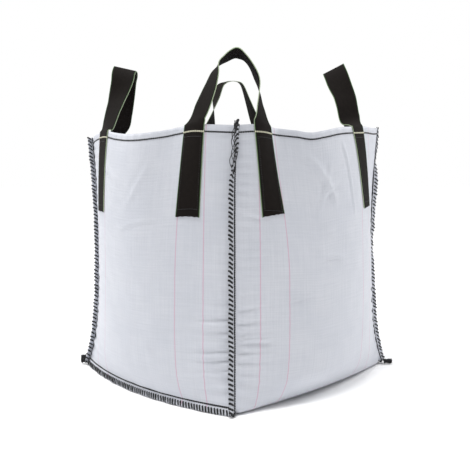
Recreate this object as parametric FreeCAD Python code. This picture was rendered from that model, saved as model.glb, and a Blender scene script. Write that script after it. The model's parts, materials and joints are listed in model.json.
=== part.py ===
# Open-top one-tonne bulk bag of woven polypropylene with four cross-corner lifting loops.
# Units are millimetres. +Z is up, the origin is the centre of the base on the floor,
# and the front is at -Y. The bag stands open and a little puffed out, as it does when empty.
#
# One long panel makes the right wall, the base and the left wall. A side panel closes the
# front and another closes the back, each sewn to the long panel along three edges.
# Four straps, each sewn to two neighbouring walls, cross the corners as lifting loops.

import math
import os

import FreeCAD
import Part

# Panels
PANEL_WIDTH = 900.0
BASE_CHORD = 895.0
WAIST_CHORD = 820.0
MOUTH_CHORD = 865.0
BASE_FALL = 3.6
MOUTH_RISE = 1.8
FABRIC = 1.2
CORNER_HEIGHTS = (1000.0, 1015.0, 1000.0, 985.0)
RIM_DIPS = (27.0, 37.0, 30.0, 30.0)
HEM_DEPTH = 25.0

# Seams
EDGE_GAP = 0.3
CORNER_CUT = 0.8
ALLOWANCE = 21.0
BASE_ALLOWANCE = 25.0
OVERLOCK_WIDTH = 18.0
OVERLOCK_THICK = 1.6
CHAIN_WIDTH = 3.0
CHAIN_THICK = 0.9
CHAIN_INSET = 1.6
BASE_CHAIN_INSET = 5.0
SEAM_FOOT = 16.0
SEAM_LEAN = (-35.0, 25.0, 20.0, 30.0)
KNOT_LENGTH = 30.0
KNOT_THICK = 14.0
KNOT_CORNERS = (1, 3)

# Lifting loops
STRAP_WIDTH = 95.0
STRAP_THICK = 3.0
LEG_BELOW_RIM = 308.0
FOLD_ABOVE_RIM = 60.0
LEG_CLEARANCE = 0.4
BOX_STITCH_WIDTH = 2.0
BOX_STITCH_THICK = 0.8
BOX_STITCH_MARGIN = 9.0
LOOP_NAMES = ("front_right", "back_right", "back_left", "front_left")
# Distance of each leg's centre from its corner, at the rim and at its lower end:
# first on the wall that ends at the corner, then on the wall that starts there.
LEG_REACH = (((155.0, 155.0), (115.0, 120.0)),
             ((290.0, 205.0), (165.0, 165.0)),
             ((165.0, 165.0), (165.0, 165.0)),
             ((165.0, 165.0), (185.0, 180.0)))
LOOP_HEIGHTS = (272.0, 271.0, 303.0, 292.0)
LOOP_SKEWS = (30.0, 0.0, -12.0, 0.0)
LOOP_LEANS = (0.0, -95.0, -20.0, -68.0)
CROWN_POINTEDNESS = 1.5

WALL_NAMES = ("front", "right", "back", "left")
WALL_ROWS = 21
WALL_COLUMNS = 13


def vector(x, y, z):
    return FreeCAD.Vector(x, y, z)


def blend(low, high, amount):
    return low + (high - low) * amount


def chord(v):
    """Distance between two neighbouring corners at the fraction v of the bag's height."""
    if v < 0.5:
        return WAIST_CHORD + (BASE_CHORD - WAIST_CHORD) * (1.0 - 2.0 * v) ** BASE_FALL
    return WAIST_CHORD + (MOUTH_CHORD - WAIST_CHORD) * (2.0 * v - 1.0) ** MOUTH_RISE


def bulge(v):
    """How far a wall's middle stands out, so that it keeps the width of its panel."""
    return chord(v) * math.sqrt((PANEL_WIDTH / chord(v) - 1.0) * 3.0 / 8.0)


def turned(wall, along, out, z):
    """A point given along and out from one wall's chord, in the bag's own frame."""
    angle = math.radians(90.0 * wall)
    return vector(along * math.cos(angle) + out * math.sin(angle),
                  along * math.sin(angle) - out * math.cos(angle), z)


def rim(wall, s):
    """Height of a wall's top edge, which dips between its two corners."""
    start = CORNER_HEIGHTS[wall - 1]
    end = CORNER_HEIGHTS[wall]
    return blend(start, end, (s + 1.0) / 2.0) - RIM_DIPS[wall] * (1.0 - s * s)


def wall_middle(wall, s, z):
    """A point on a wall's outer face; s runs from -1 to 1, anticlockwise seen from above."""
    v = min(z / rim(wall, s), 1.0)
    half = chord(v) / 2.0
    return turned(wall, s * half, half + bulge(v) * (1.0 - s * s), z)


def wall_normal(wall, s, z):
    """Outward direction square to a wall, found from its neighbouring points."""
    step = 0.01
    low = min(max(z, 2.0), rim(wall, s) - 2.0) - 2.0
    across = wall_middle(wall, s + step, z) - wall_middle(wall, s - step, z)
    up = wall_middle(wall, s, low + 4.0) - wall_middle(wall, s, low)
    return across.cross(up).normalize()


def wall_point(wall, s, z, proud):
    """A point that stands proud of a wall's outer face, measured square to the face."""
    return wall_middle(wall, s, z) + wall_normal(wall, s, z) * proud


def wall_place(end, reach):
    """Position s along a wall of a point a given distance from its end, which is -1 or 1."""
    return end * (1.0 - reach / (PANEL_WIDTH / 2.0))


def face_through(rows):
    surface = Part.BSplineSurface()
    surface.interpolate(rows)
    return surface


def slab(outer_rows, inner_rows):
    """A closed solid between two grids of points, smooth in both directions."""
    outer = face_through(outer_rows)
    inner = face_through(inner_rows)
    faces = [outer.toShape(), inner.toShape()]
    for pick in ("uIso", "vIso"):
        for value in (0.0, 1.0):
            one = getattr(outer, pick)(value).toShape()
            other = getattr(inner, pick)(value).toShape()
            faces.append(Part.makeRuledSurface(one, other))
    shell = Part.Shell(faces)
    shell.sewShape()
    solid = Part.Solid(shell)
    if solid.Volume < 0.0:
        solid.reverse()
    return solid


def loft(sections):
    """A closed solid through polygons that all have the same number of points."""
    wires = [Part.makePolygon(points + [points[0]]) for points in sections]
    return Part.makeLoft(wires, True, True)


def spaced(low, high, count):
    return [blend(low, high, n / (count - 1.0)) for n in range(count)]


def wall_slab(wall, foot):
    """One wall's fabric above foot, with its thickness inwards, just short of its corners."""
    end = 1.0 - CORNER_CUT / (PANEL_WIDTH / 2.0)
    grids = []
    for proud in (0.0, -FABRIC):
        rows = []
        for v in spaced(0.0, 1.0, WALL_ROWS):
            rows.append([wall_point(wall, s, v * rim(wall, s), proud)
                         for s in spaced(-end, end, WALL_COLUMNS)])
        for point in rows[0]:
            point.z = foot
        grids.append(rows)
    return slab(grids[0], grids[1])


def seam_point(corner, out, side, z):
    """A point on a corner seam: out along the seam's flap, and to one side of its middle."""
    root = wall_middle(corner, 1.0, z)
    angle = math.radians(-45.0 + 90.0 * corner + SEAM_LEAN[corner])
    flap = vector(math.cos(angle), math.sin(angle), 0.0)
    across = vector(-math.sin(angle), math.cos(angle), 0.0)
    return root + flap * out + across * side


def seam_heights(corner):
    return spaced(SEAM_FOOT, CORNER_HEIGHTS[corner] - 1.0, 12)


def allowance(corner, side):
    """The edge of a panel that is turned out into the corner seam; side is -1 or 1."""
    near = side * EDGE_GAP / 2.0
    far = side * (EDGE_GAP / 2.0 + FABRIC)
    sections = []
    for z in seam_heights(corner):
        sections.append([seam_point(corner, FABRIC, near, z),
                         seam_point(corner, ALLOWANCE, near, z),
                         seam_point(corner, ALLOWANCE, far, z),
                         seam_point(corner, FABRIC, far, z)])
    return loft(sections)


def base_curve(wall, out, z):
    """The base's edge below one wall, moved outwards by out."""
    half = chord(0.0) / 2.0
    return [turned(wall, s * half, half + bulge(0.0) * (1.0 - s * s) + out, z)
            for s in spaced(-1.0, 1.0, WALL_COLUMNS)]


def base_plate():
    """The base, with its front and back edges turned out flat on the floor for the seams."""
    edges = []
    corners = []
    for wall in range(4):
        out = BASE_ALLOWANCE if wall % 2 == 0 else -FABRIC - EDGE_GAP
        points = base_curve(wall, out, 0.0)
        curve = Part.BSplineCurve()
        curve.interpolate(points)
        edges.append(curve.toShape())
        corners.append((points[0], points[-1]))
    outline = []
    for wall in range(4):
        outline.append(edges[wall])
        here = corners[wall][1]
        there = corners[(wall + 1) % 4][0]
        outline.append(Part.LineSegment(here, there).toShape())
    return Part.Face(Part.Wire(outline)).extrude(vector(0.0, 0.0, FABRIC))


def u_panel():
    """Base and two walls of the long panel, which meet at its folds."""
    return Part.makeCompound([base_plate(), wall_slab(1, 0.0), wall_slab(3, 0.0)])


def side_panel(wall):
    """The front or back wall, with its lower edge turned out along the floor."""
    low = FABRIC + EDGE_GAP
    near = 3.0 * FABRIC
    foot = slab([base_curve(wall, near, low), base_curve(wall, BASE_ALLOWANCE, low)],
                [base_curve(wall, near, low + FABRIC), base_curve(wall, BASE_ALLOWANCE, low + FABRIC)])
    return Part.makeCompound([wall_slab(wall, low), foot])


def corner_seam_edges(corner):
    """The edges of two neighbouring panels, turned out face to face into their seam."""
    return Part.makeCompound([allowance(corner, -1), allowance(corner, 1)])


def corner_overlock(corner):
    """Overlock thread wrapped round the two edges of a corner seam, as a sleeve."""
    inner = EDGE_GAP / 2.0 + FABRIC + EDGE_GAP
    outer = inner + OVERLOCK_THICK
    tip = ALLOWANCE + EDGE_GAP
    start = tip + OVERLOCK_THICK - OVERLOCK_WIDTH
    sections = []
    for z in seam_heights(corner):
        outline = ((start, -outer), (tip + OVERLOCK_THICK, -outer), (tip + OVERLOCK_THICK, outer),
                   (start, outer), (start, inner), (tip, inner), (tip, -inner), (start, -inner))
        sections.append([seam_point(corner, out, side, z) for out, side in outline])
    return loft(sections)


def corner_chain(corner):
    """The safety chain stitch beside the overlock, one line of thread on each face."""
    inner = EDGE_GAP / 2.0 + FABRIC + EDGE_GAP
    lines = []
    for side in (-1.0, 1.0):
        sections = []
        for z in seam_heights(corner):
            outline = ((0.0, inner), (CHAIN_WIDTH, inner), (CHAIN_WIDTH, inner + CHAIN_THICK),
                       (0.0, inner + CHAIN_THICK))
            sections.append([seam_point(corner, CHAIN_INSET + out, side * along, z)
                             for out, along in outline])
        lines.append(loft(sections))
    return Part.makeCompound(lines)


def base_overlock(wall):
    """Overlock thread over the upper face and the tip of the seam that lies on the floor."""
    top = 2.0 * FABRIC + 2.0 * EDGE_GAP
    tip = BASE_ALLOWANCE + EDGE_GAP
    start = tip + OVERLOCK_THICK - OVERLOCK_WIDTH
    outline = ((start, top), (tip, top), (tip, 0.0), (tip + OVERLOCK_THICK, 0.0),
               (tip + OVERLOCK_THICK, top + OVERLOCK_THICK), (start, top + OVERLOCK_THICK))
    rails = [base_curve(wall, out, z) for out, z in outline]
    return loft([[rail[n] for rail in rails] for n in range(WALL_COLUMNS)])


def base_chain(wall):
    """The safety chain stitch beside the overlock of a base seam, on its upper face."""
    top = 2.0 * FABRIC + 2.0 * EDGE_GAP
    start = BASE_CHAIN_INSET
    end = start + CHAIN_WIDTH
    outline = ((start, top), (end, top), (end, top + CHAIN_THICK), (start, top + CHAIN_THICK))
    rails = [base_curve(wall, out, z) for out, z in outline]
    return loft([[rail[n] for rail in rails] for n in range(WALL_COLUMNS)])


def leg_places(wall, level):
    """Positions s of a wall's two legs; level is 0 at the rim and 1 at their lower ends."""
    before = LEG_REACH[wall - 1][1]
    after = LEG_REACH[wall][0]
    return (wall_place(-1.0, blend(before[0], before[1], level)),
            wall_place(1.0, blend(after[0], after[1], level)))


def strap_half():
    return (STRAP_WIDTH / 2.0) / (PANEL_WIDTH / 2.0)


def leg_top(corner, which):
    """Centre of a leg's outer face at the rim; which is 0 before the corner and 1 after it."""
    wall = (corner + which) % 4
    s = leg_places(wall, 0.0)[1 - which]
    return wall_point(wall, s, rim(wall, s), LEG_CLEARANCE + STRAP_THICK / 2.0)


def leg_tangent(corner, which):
    wall = (corner + which) % 4
    s = leg_places(wall, 0.0)[1 - which]
    z = rim(wall, s)
    ahead = wall_middle(wall, s + strap_half(), z) - wall_middle(wall, s - strap_half(), z)
    ahead.z = 0.0
    return ahead.normalize()


def fold_height(corner):
    """Height of the line that a loop folds about, a little above the rim at its legs."""
    return max(leg_top(corner, 0).z, leg_top(corner, 1).z) + FOLD_ABOVE_RIM


def leg(corner, which):
    """The sewn end of a strap, flat against the outside of its wall up to the rim."""
    wall = (corner + which) % 4
    grids = []
    for proud in (LEG_CLEARANCE + STRAP_THICK, LEG_CLEARANCE):
        rows = []
        for level in spaced(1.0, 0.0, 8):
            middle = leg_places(wall, level)[1 - which]
            z = rim(wall, middle) - 1.0 - (LEG_BELOW_RIM - 1.0) * level
            rows.append([wall_point(wall, s, z, proud)
                         for s in spaced(middle - strap_half(), middle + strap_half(), 5)])
        grids.append(rows)
    return slab(grids[0], grids[1])


def ribbon(centres, widths, normals):
    """A strap of webbing through centres, with its width and face directions given."""
    grids = []
    for side in (0.5, -0.5):
        rows = []
        for centre, across, normal in zip(centres, widths, normals):
            middle = centre + normal * (STRAP_THICK * side)
            rows.append([middle + across * (STRAP_WIDTH * reach) for reach in (-0.5, 0.0, 0.5)])
        grids.append(rows)
    return slab(grids[0], grids[1])


def loop_fold(corner):
    """The short free stretches of webbing between the rim and the arch, which bend."""
    pieces = []
    for which in (0, 1):
        foot = leg_top(corner, which)
        across = leg_tangent(corner, which)
        normal = across.cross(vector(0.0, 0.0, 1.0))
        top = fold_height(corner) + 1.0
        centres = [vector(foot.x, foot.y, z) for z in spaced(foot.z + 1.0, top, 3)]
        pieces.append(ribbon(centres, [across] * 3, [normal] * 3))
    return Part.makeCompound(pieces)


def arch_path(corner, turn):
    """Centre of the arch and its width direction; turn runs from 0 to pi over the arch."""
    start = leg_top(corner, 0)
    end = leg_top(corner, 1)
    base = fold_height(corner) + 2.0
    rise = LOOP_HEIGHTS[corner] - FOLD_ABOVE_RIM
    along = end - start
    along.z = 0.0
    span = along.Length
    along.normalize()
    out = along.cross(vector(0.0, 0.0, 1.0))
    middle = (start + end) * 0.5
    sway = -math.cos(turn)
    lift = max(math.sin(turn), 0.0) ** CROWN_POINTEDNESS
    spot = vector(middle.x, middle.y, base + rise * lift)
    spot = spot + along * (sway * span / 2.0 + LOOP_SKEWS[corner] * lift * lift)
    spot = spot + out * (LOOP_LEANS[corner] * lift)
    first = leg_tangent(corner, 0)
    last = leg_tangent(corner, 1)
    angle = math.atan2(first.y, first.x)
    sweep = (math.atan2(-last.y, -last.x) - angle) % (2.0 * math.pi) - 2.0 * math.pi
    share = turn / math.pi
    angle = angle + sweep * share * share * (3.0 - 2.0 * share)
    return spot, vector(math.cos(angle), math.sin(angle), 0.0)


def loop_arch(corner):
    """The free part of a strap: up from one wall, across the corner and down to the next."""
    turns = spaced(0.0, math.pi, 17)
    centres = []
    widths = []
    normals = []
    for turn in turns:
        spot, across = arch_path(corner, turn)
        before = arch_path(corner, max(turn - 0.02, 0.0))[0]
        after = arch_path(corner, min(turn + 0.02, math.pi))[0]
        ahead = (after - before).normalize()
        if turn in (turns[0], turns[-1]):
            ahead = vector(0.0, 0.0, math.copysign(1.0, ahead.z))
        across = (across - ahead * across.dot(ahead)).normalize()
        centres.append(spot)
        widths.append(across)
        normals.append(across.cross(ahead))
    return ribbon(centres, widths, normals)


def thread_line(wall, places, width, thick, lift):
    """A line of thread on a wall through (s, z) places, standing thick above lift."""
    first = wall_middle(wall, places[0][0], places[0][1])
    last = wall_middle(wall, places[-1][0], places[-1][1])
    level = abs(last.z - first.z) < (last - first).Length / 2.0
    ds = 0.0 if level else width / PANEL_WIDTH
    dz = width / 2.0 if level else 0.0
    grids = []
    for proud in (lift + thick, lift):
        grids.append([[wall_point(wall, s - ds, z - dz, proud),
                       wall_point(wall, s + ds, z + dz, proud)] for s, z in places])
    return slab(grids[0], grids[1])


def leg_stitching(corner, which):
    """Lines of stitching round and across a leg, on its outer face."""
    wall = (corner + which) % 4
    top = leg_places(wall, 0.08)[1 - which]
    low = leg_places(wall, 1.0)[1 - which]
    half = strap_half() * (1.0 - 2.0 * BOX_STITCH_MARGIN / STRAP_WIDTH)
    high_z = rim(wall, top) - HEM_DEPTH - 20.0
    low_z = rim(wall, low) - LEG_BELOW_RIM + BOX_STITCH_MARGIN
    lift = LEG_CLEARANCE + STRAP_THICK + 0.1
    gap = BOX_STITCH_WIDTH / PANEL_WIDTH * 2.0 + 0.002
    lines = []
    for side in (-half, half):
        lines.append([(blend(low, top, level) + side, blend(low_z, high_z, level))
                      for level in spaced(0.0, 1.0, 6)])
    for level in (0.01, 0.99):
        place = blend(low, top, level)
        z = blend(low_z, high_z, level)
        lines.append([(s, z) for s in spaced(place - half + gap, place + half - gap, 4)])
    return Part.makeCompound([thread_line(wall, line, BOX_STITCH_WIDTH, BOX_STITCH_THICK, lift)
                              for line in lines])


def hem_stitching(wall):
    """The chain stitch that holds the turned-down hem, in the spaces beside the straps."""
    first, last = leg_places(wall, HEM_DEPTH / LEG_BELOW_RIM)
    half = strap_half() + 0.006
    pieces = []
    for start, end in ((-0.99, first - half), (first + half, last - half), (last + half, 0.99)):
        places = [(s, rim(wall, s) - HEM_DEPTH) for s in spaced(start, end, 9)]
        pieces.append(thread_line(wall, places, CHAIN_WIDTH, CHAIN_THICK, 0.1))
    return Part.makeCompound(pieces)


def strap_cross_stitching(wall):
    """The short lines of paler stitching that carry the hem's seam over a wall's two straps."""
    half = strap_half() - 0.004
    lift = LEG_CLEARANCE + STRAP_THICK + 0.1
    pieces = []
    for middle in leg_places(wall, HEM_DEPTH / LEG_BELOW_RIM):
        places = [(s, rim(wall, s) - HEM_DEPTH) for s in spaced(middle - half, middle + half, 5)]
        pieces.append(thread_line(wall, places, CHAIN_WIDTH, CHAIN_THICK, lift))
    return Part.makeCompound(pieces)


def seam_knot(corner):
    """The bunched end of a corner seam's overlock thread, just past the foot of the seam."""
    angle = math.radians(-45.0 + 90.0 * corner)
    ahead = vector(math.cos(angle), math.sin(angle), 0.0)
    root = wall_middle(corner, 1.0, 0.0) + ahead * (ALLOWANCE + 8.0)
    root.z = KNOT_THICK / 2.0 + 1.0
    return Part.makeCylinder(KNOT_THICK / 2.0, KNOT_LENGTH, root, ahead)


def build():
    nodes = {"u_panel": u_panel()}
    for wall in (0, 2):
        name = WALL_NAMES[wall]
        nodes["side_panel_" + name] = side_panel(wall)
        nodes["base_overlock_" + name] = base_overlock(wall)
        nodes["base_chain_stitch_" + name] = base_chain(wall)
    for wall in range(4):
        nodes["hem_chain_stitch_" + WALL_NAMES[wall]] = hem_stitching(wall)
        nodes["strap_cross_stitch_" + WALL_NAMES[wall]] = strap_cross_stitching(wall)
    for corner in range(4):
        name = LOOP_NAMES[corner]
        nodes["corner_seam_edges_" + name] = corner_seam_edges(corner)
        nodes["corner_overlock_" + name] = corner_overlock(corner)
        nodes["corner_chain_stitch_" + name] = corner_chain(corner)
        nodes["loop_arch_" + name] = loop_arch(corner)
        nodes["loop_fold_" + name] = loop_fold(corner)
        for which in (0, 1):
            wall_name = WALL_NAMES[(corner + which) % 4]
            nodes["loop_leg_" + name + "_on_" + wall_name] = leg(corner, which)
            nodes["leg_stitching_" + name + "_on_" + wall_name] = leg_stitching(corner, which)
    for corner in KNOT_CORNERS:
        nodes["seam_knot_" + LOOP_NAMES[corner]] = seam_knot(corner)
    return nodes


os.makedirs("parts", exist_ok=True)
for node, shape in build().items():
    shape.exportStep("parts/" + node + ".step")
    print(node, len(shape.Solids), shape.isValid(), round(shape.Volume / 1000.0, 2))
for corner in range(4):
    first = leg_top(corner, 0)
    last = leg_top(corner, 1)
    print("fold line", LOOP_NAMES[corner], first, last, fold_height(corner))
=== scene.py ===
# Open-top bulk bag of coated woven polypropylene, with four cross-corner lifting loops.
# The file follows the bag as it is sewn: the cloth panels, their overlocked seams, the hem,
# the webbing straps and the stitching that holds them, then the studio.

import json
import math

import bpy
import numpy as np
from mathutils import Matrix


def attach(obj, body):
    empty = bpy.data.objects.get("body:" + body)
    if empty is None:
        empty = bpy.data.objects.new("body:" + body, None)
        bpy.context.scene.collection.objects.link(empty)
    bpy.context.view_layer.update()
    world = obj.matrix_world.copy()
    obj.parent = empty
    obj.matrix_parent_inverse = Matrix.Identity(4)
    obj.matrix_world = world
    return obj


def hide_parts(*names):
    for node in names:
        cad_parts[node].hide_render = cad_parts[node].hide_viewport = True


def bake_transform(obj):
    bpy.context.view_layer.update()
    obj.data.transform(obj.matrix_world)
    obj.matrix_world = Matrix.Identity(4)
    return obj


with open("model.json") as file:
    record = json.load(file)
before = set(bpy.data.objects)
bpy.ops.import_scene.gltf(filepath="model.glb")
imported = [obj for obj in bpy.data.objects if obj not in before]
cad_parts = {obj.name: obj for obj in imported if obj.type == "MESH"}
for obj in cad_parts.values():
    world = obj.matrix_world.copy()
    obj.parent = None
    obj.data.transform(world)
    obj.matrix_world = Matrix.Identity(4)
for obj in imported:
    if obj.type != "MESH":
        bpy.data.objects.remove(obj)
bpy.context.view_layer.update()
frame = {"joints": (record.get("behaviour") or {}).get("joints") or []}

# ------------------------------
# The walls' shape. Each wall is a panel 0.9 m wide between two corner seams that stand
# closer together than that, so it bows outwards; the bag pinches in a little at its waist.

PANEL_WIDTH = 0.9
HALF_PANEL = PANEL_WIDTH / 2.0
BASE_CHORD = 0.895
WAIST_CHORD = 0.82
MOUTH_CHORD = 0.865
# How sharply the corners draw together above the base, and spread again towards the mouth
BASE_FALL = 3.6
MOUTH_RISE = 1.8
CORNER_HEIGHTS = (1.0, 1.015, 1.0, 0.985)
RIM_DIPS = (0.027, 0.037, 0.030, 0.030)
WALL_NAMES = ("front", "right", "back", "left")
CORNER_NAMES = ("front_right", "back_right", "back_left", "front_left")
HEM_DEPTH = 0.025
STRAP_WIDTH = 0.095
LEG_BELOW_RIM = 0.308
# Distance of each leg's centre from its corner, at the rim and at its lower end: first on
# the wall that ends at the corner, then on the wall that starts there.
LEG_REACH = (((0.157, 0.166), (0.114, 0.137)),
             ((0.306, 0.212), (0.165, 0.165)),
             ((0.165, 0.165), (0.165, 0.165)),
             ((0.165, 0.165), (0.200, 0.180)))
# How the hem rises and falls along each wall, as (s, metres) places
RIM_WAVES = (((-1, -0.013), (-0.8, 0.007), (-0.5, 0.022), (-0.3, 0.013), (0, 0.002),
              (0.3, 0.005), (0.5, 0.012), (0.64, 0.013), (0.8, 0.002), (1, -0.014)),
             ((-1, -0.014), (-0.85, 0.0), (-0.6, 0.005), (-0.4, 0.003), (-0.3, -0.002),
              (-0.18, 0.007), (0, 0.021), (0.3, 0.026), (0.55, 0.022), (0.8, 0.009), (1, 0)),
             ((-1, 0), (-0.6, 0.014), (-0.1, -0.002), (0.2, 0.006), (0.6, 0.012), (1, 0)),
             ((-1, 0), (-0.6, 0.012), (-0.2, 0.004), (0.1, -0.003), (0.6, 0.013), (1, -0.013)))
# Where the straps' pull flattens a wall near its mouth: place s, half-width in s, metres
MOUTH_PULLS = ((0.44, 0.17, 0.030), (-0.56, 0.155, 0.064), (0.0, 0.2, 0.006), (0.1, 0.2, 0.006))
# How far the long panel's walls curve back in at mid wall before they roll under the bag,
# and the share of the height where that begins
FOOT_TUCK = 0.022
FOOT_TUCK_TOP = 0.11
SLACK_HEIGHT = 0.006


def chord(v):
    """Distance between two neighbouring corners at the fraction v of the bag's height."""
    low = WAIST_CHORD + (BASE_CHORD - WAIST_CHORD) * np.abs(1.0 - 2.0 * v) ** BASE_FALL
    high = WAIST_CHORD + (MOUTH_CHORD - WAIST_CHORD) * np.abs(2.0 * v - 1.0) ** MOUTH_RISE
    return np.where(v < 0.5, low, high)


def bulge(v):
    """How far a wall's middle stands out, so that it keeps the width of its panel."""
    return chord(v) * np.sqrt((PANEL_WIDTH / chord(v) - 1.0) * 3.0 / 8.0)


def turned(wall, along, out, z):
    """Points given along and out from one wall's chord, in the bag's own frame."""
    angle = math.radians(90.0 * wall)
    along, out, z = np.broadcast_arrays(along, out, z)
    return np.stack([along * math.cos(angle) + out * math.sin(angle),
                     along * math.sin(angle) - out * math.cos(angle), z], axis=-1)


def smooth_step(low, high, value):
    share = np.clip((value - low) / (high - low), 0.0, 1.0)
    return share * share * (3.0 - 2.0 * share)


def eased(places, value):
    """Smooth line (cubic Hermite) through (position, height) places."""
    x, y = (np.array(row, float) for row in zip(*places))
    slope = np.gradient(y, x)
    k = np.clip(np.searchsorted(x, value, side="right") - 1, 0, len(x) - 2)
    span = x[k + 1] - x[k]
    t = np.clip((value - x[k]) / span, 0.0, 1.0)
    start = y[k] * (1 + 2 * t) + slope[k] * span * t
    finish = y[k + 1] * (3 - 2 * t) - slope[k + 1] * span * (1 - t)
    return start * (1 - t) ** 2 + finish * t * t


def rim_height(wall, s):
    """Height of a wall's top edge, which dips between its two corners."""
    start = CORNER_HEIGHTS[wall - 1]
    end = CORNER_HEIGHTS[wall]
    straight = start + (end - start) * (s + 1.0) / 2.0 - RIM_DIPS[wall] * (1.0 - s * s)
    return straight + eased(RIM_WAVES[wall], np.asarray(s, float))


def smooth_wall(wall, s, z):
    """Points on a wall's outer face without its creases; s runs from -1 to 1."""
    s, z = np.broadcast_arrays(np.asarray(s, float), np.asarray(z, float))
    v = np.clip(z / rim_height(wall, s), 0.0, 1.0)
    half = chord(v) / 2.0
    out = half + bulge(v) * (1.0 - s * s)
    if WALL_NAMES[wall] in ("right", "left"):
        out = out - FOOT_TUCK * (1.0 - s * s) * smooth_step(FOOT_TUCK_TOP, 0.0, v)
    place, width, depth = MOUTH_PULLS[wall]
    hold = np.exp(-((s - place) / width) ** 2 / 2.0) * (1.0 - s ** 4)
    out = out - depth * hold * smooth_step(0.45, 1.0, v)
    return turned(wall, s * half, out, z)


def unit(vectors):
    return vectors / np.linalg.norm(vectors, axis=-1, keepdims=True)


def wall_normal(wall, s, z):
    """Outward directions square to a wall."""
    s, z = np.broadcast_arrays(np.asarray(s, float), np.asarray(z, float))
    z = np.clip(z, 0.004, rim_height(wall, s) - 0.004)
    across = smooth_wall(wall, s + 0.01, z) - smooth_wall(wall, s - 0.01, z)
    up = smooth_wall(wall, s, z + 0.002) - smooth_wall(wall, s, z - 0.002)
    return unit(np.cross(across, up))


def leg_places(wall, level):
    """Positions s of a wall's two legs; level is 0 at the rim and 1 at their lower ends."""
    before = LEG_REACH[wall - 1][1]
    after = LEG_REACH[wall][0]
    return (-1.0 + (before[0] + (before[1] - before[0]) * level) / HALF_PANEL,
            1.0 - (after[0] + (after[1] - after[0]) * level) / HALF_PANEL)


def slack(wall, s, z):
    """The cloth's wide soft waves, which the straps follow too, in metres outwards."""
    turn = 1.7 * wall
    wave = np.sin(5.1 * z + 1.9 * s + turn) * np.sin(3.3 * s - 2.2 * z + 2.0 * turn)
    fade = (1.0 - s ** 8) * smooth_step(0.0, 0.12, z)
    return SLACK_HEIGHT * wave * fade


# Creases left by folding and packing: start and end as (s, z), strength and half-width in mm.
CREASES = (
    (((0.97, 0.30), (0.72, 0.285), 1.6, 9.0), ((0.97, 0.24), (0.70, 0.225), 1.8, 9.0),
     ((0.96, 0.19), (0.70, 0.18), 1.6, 9.0), ((-0.1, 0.62), (0.35, 0.66), 1.0, 6.0),
     ((-0.75, 0.90), (-0.2, 0.80), 1.5, 14.0), ((0.25, 0.86), (0.0, 0.70), 0.8, 12.0)),
    (((-0.96, 0.69), (-0.70, 0.665), 2.2, 7.0), ((-0.25, 0.52), (0.02, 0.515), 2.0, 5.0),
     ((-0.62, 0.375), (-0.35, 0.395), 1.6, 6.0), ((0.06, 0.95), (0.24, 0.66), 1.6, 5.0),
     ((-0.35, 0.90), (-0.05, 0.72), 1.8, 14.0), ((-0.30, 0.72), (-0.02, 0.80), 1.6, 8.0),
     ((-0.1, 0.86), (-0.28, 0.66), 1.4, 9.0), ((-0.96, 0.26), (-0.70, 0.245), 1.6, 9.0),
     ((-0.96, 0.20), (-0.68, 0.19), 1.6, 9.0)),
    (((-0.5, 0.70), (0.1, 0.66), 1.6, 8.0), ((0.1, 0.90), (-0.2, 0.66), 1.6, 9.0),
     ((-0.2, 0.45), (0.5, 0.47), 1.2, 7.0)),
    (((-0.4, 0.60), (0.3, 0.64), 1.4, 8.0), ((0.0, 0.92), (0.3, 0.70), 1.8, 9.0),
     ((-0.3, 0.35), (0.4, 0.33), 1.2, 7.0)),
)
CREASE_HEIGHT = 0.0022
# Puckers along the corner seams: two pitches, how far they reach, height, extra height low down
PUCKER_PITCHES = (0.037, 0.021)
PUCKER_REACH = 0.080
PUCKER_HEIGHT = 0.0020
LOW_PUCKER_HEIGHT = 0.0042


def relief(wall, s, z):
    """Puckers along the seams, creases and ripples of one wall's cloth, metres outwards."""
    s, z = np.broadcast_arrays(np.asarray(s, float), np.asarray(z, float))
    under_leg = np.zeros(s.shape)
    below = rim_height(wall, s) - z
    level = np.clip(below / LEG_BELOW_RIM, 0.0, 1.0)
    for place in leg_places(wall, level):
        reach = np.abs(s - place) * HALF_PANEL
        cover = 1.0 - smooth_step(0.048, 0.062, reach)
        under_leg = np.maximum(under_leg, cover * (1.0 - smooth_step(0.34, 0.36, below)))
    fine = np.zeros(s.shape)
    for end, phase in ((-1.0, 0.8), (1.0, 2.1)):
        away = (1.0 - end * s) * HALF_PANEL
        uneven = z + 0.010 * np.sin(21.0 * z + phase + wall) + 0.12 * away * np.sin(9.0 * z + wall)
        wide, close = (2.0 * math.pi * uneven / pitch for pitch in PUCKER_PITCHES)
        ripple = np.sin(wide + phase * 3.0) + 0.45 * np.sin(close + phase)
        low_down = smooth_step(0.44, 0.30, z) * smooth_step(0.03, 0.12, z)
        strength = PUCKER_HEIGHT + LOW_PUCKER_HEIGHT * low_down
        fine += strength * ripple * (1.0 - np.exp(-away / 0.012)) * np.exp(-away / PUCKER_REACH)
    for start, finish, height, half_width in CREASES[wall]:
        run = np.array([(finish[0] - start[0]) * HALF_PANEL, finish[1] - start[1]])
        length = float(np.hypot(run[0], run[1]))
        run = run / length
        x = (s - start[0]) * HALF_PANEL
        along = x * run[0] + (z - start[1]) * run[1]
        aside = -x * run[1] + (z - start[1]) * run[0]
        aside = aside + 0.12 * length * (along / length - 0.5) ** 2
        window = smooth_step(-0.02, 0.05, along) * smooth_step(length + 0.02, length - 0.05, along)
        width = half_width / 1000.0
        fold = np.exp(-(aside / width) ** 2) - 0.6 * np.exp(-((aside + 1.9 * width) / width) ** 2)
        fine += CREASE_HEIGHT * height * fold * window
    fine += 0.0006 * np.sin(26.0 * s + 8.0 * z + wall) * np.sin(34.0 * z + 3.0 * s)
    fine -= 0.0007 * np.exp(-((below - HEM_DEPTH) / 0.004) ** 2)
    fine += 0.0009 * np.sin(62.0 * s + wall) * smooth_step(0.05, 0.0, below)
    return slack(wall, s, z) + fine * (1.0 - under_leg)


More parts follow.
